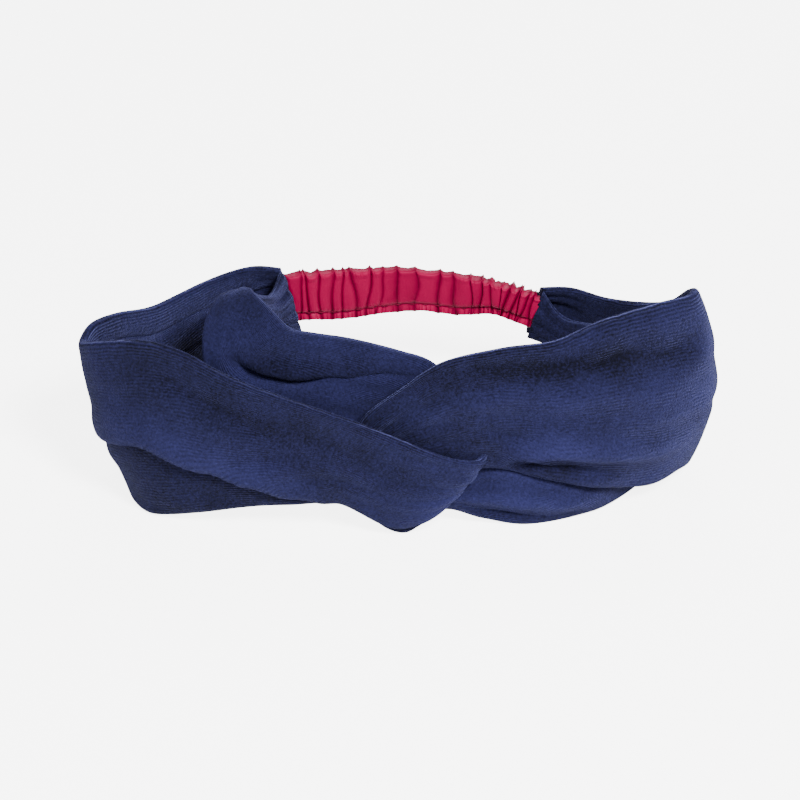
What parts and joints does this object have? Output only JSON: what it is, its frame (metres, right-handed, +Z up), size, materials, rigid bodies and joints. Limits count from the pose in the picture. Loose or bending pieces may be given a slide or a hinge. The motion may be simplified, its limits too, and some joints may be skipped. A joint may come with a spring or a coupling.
{
  "type": "knotted headband",
  "caption": "Twist headband: two folded velvet-knit straps hooked round each other at the front, joined at the back by a ruched satin casing with elastic inside.",
  "frame": {"origin": "centre of the loop's footprint, on the surface that it stands on", "axes": "+X along the loop's width, to the wearer's left as seen from the front; +Y from the knot to the elastic; +Z up"},
  "size_m": [0.2233, 0.1043, 0.0727],
  "materials": {
    "velvet": "navy velvet knit with a short soft pile and fine ribs along its length",
    "satin": "crimson satin, ruched, with soft bright folds",
    "elastic": "woven elastic, white",
    "navy_thread": "navy sewing thread",
    "crimson_thread": "crimson sewing thread",
    "white_thread": "white sewing thread"
  },
  "bodies": {
    "front": {"left_strap_front": "velvet", "right_strap_front": "velvet", "left_closing_seam": "navy_thread", "right_closing_seam": "navy_thread"},
    "left_wing": {"left_outer_tail": "velvet", "left_inner_tail": "velvet", "left_joint_stitches": "navy_thread"},
    "right_wing": {"right_outer_tail": "velvet", "right_inner_tail": "velvet", "right_joint_stitches": "navy_thread"},
    "elastic_left_half": {"casing_left": "satin", "elastic_left": "elastic", "casing_stitches_left": "crimson_thread", "left_elastic_tack": "white_thread"},
    "elastic_right_half": {"casing_right": "satin", "elastic_right": "elastic", "casing_stitches_right": "crimson_thread", "right_elastic_tack": "white_thread"}
  },
  "joints": [
    {"name": "band_open", "type": "hinge", "parent": "front", "child": "left_wing", "pos_m": [-0.1126, -0.012, 0], "axis": [0, 0, 1], "range_deg": [0, 35], "stiffness_Nm_per_rad": 0.2},
    {"name": "right_open", "type": "hinge", "parent": "front", "child": "right_wing", "pos_m": [0.1112, -0.002, 0], "axis": [0, 0, 1], "range_deg": [-35, 0]},
    {"name": "left_stretch", "type": "hinge", "parent": "left_wing", "child": "elastic_left_half", "pos_m": [-0.045, -0.03331, 0.043], "axis": [0, 0, 1], "range_deg": [-35, 0], "deforming": ["casing_left", "elastic_left", "casing_stitches_left", "left_elastic_tack"]},
    {"name": "right_stretch", "type": "hinge", "parent": "right_wing", "child": "elastic_right_half", "pos_m": [0.0436, -0.02331, 0.04], "axis": [0, 0, 1], "range_deg": [0, 35], "deforming": ["casing_right", "elastic_right", "casing_stitches_right", "right_elastic_tack"]}
  ],
  "couplings": [
    {"joint": "right_open", "follows": "band_open", "ratio": -1},
    {"joint": "left_stretch", "follows": "band_open", "ratio": -1},
    {"joint": "right_stretch", "follows": "band_open", "ratio": 1}
  ]
}
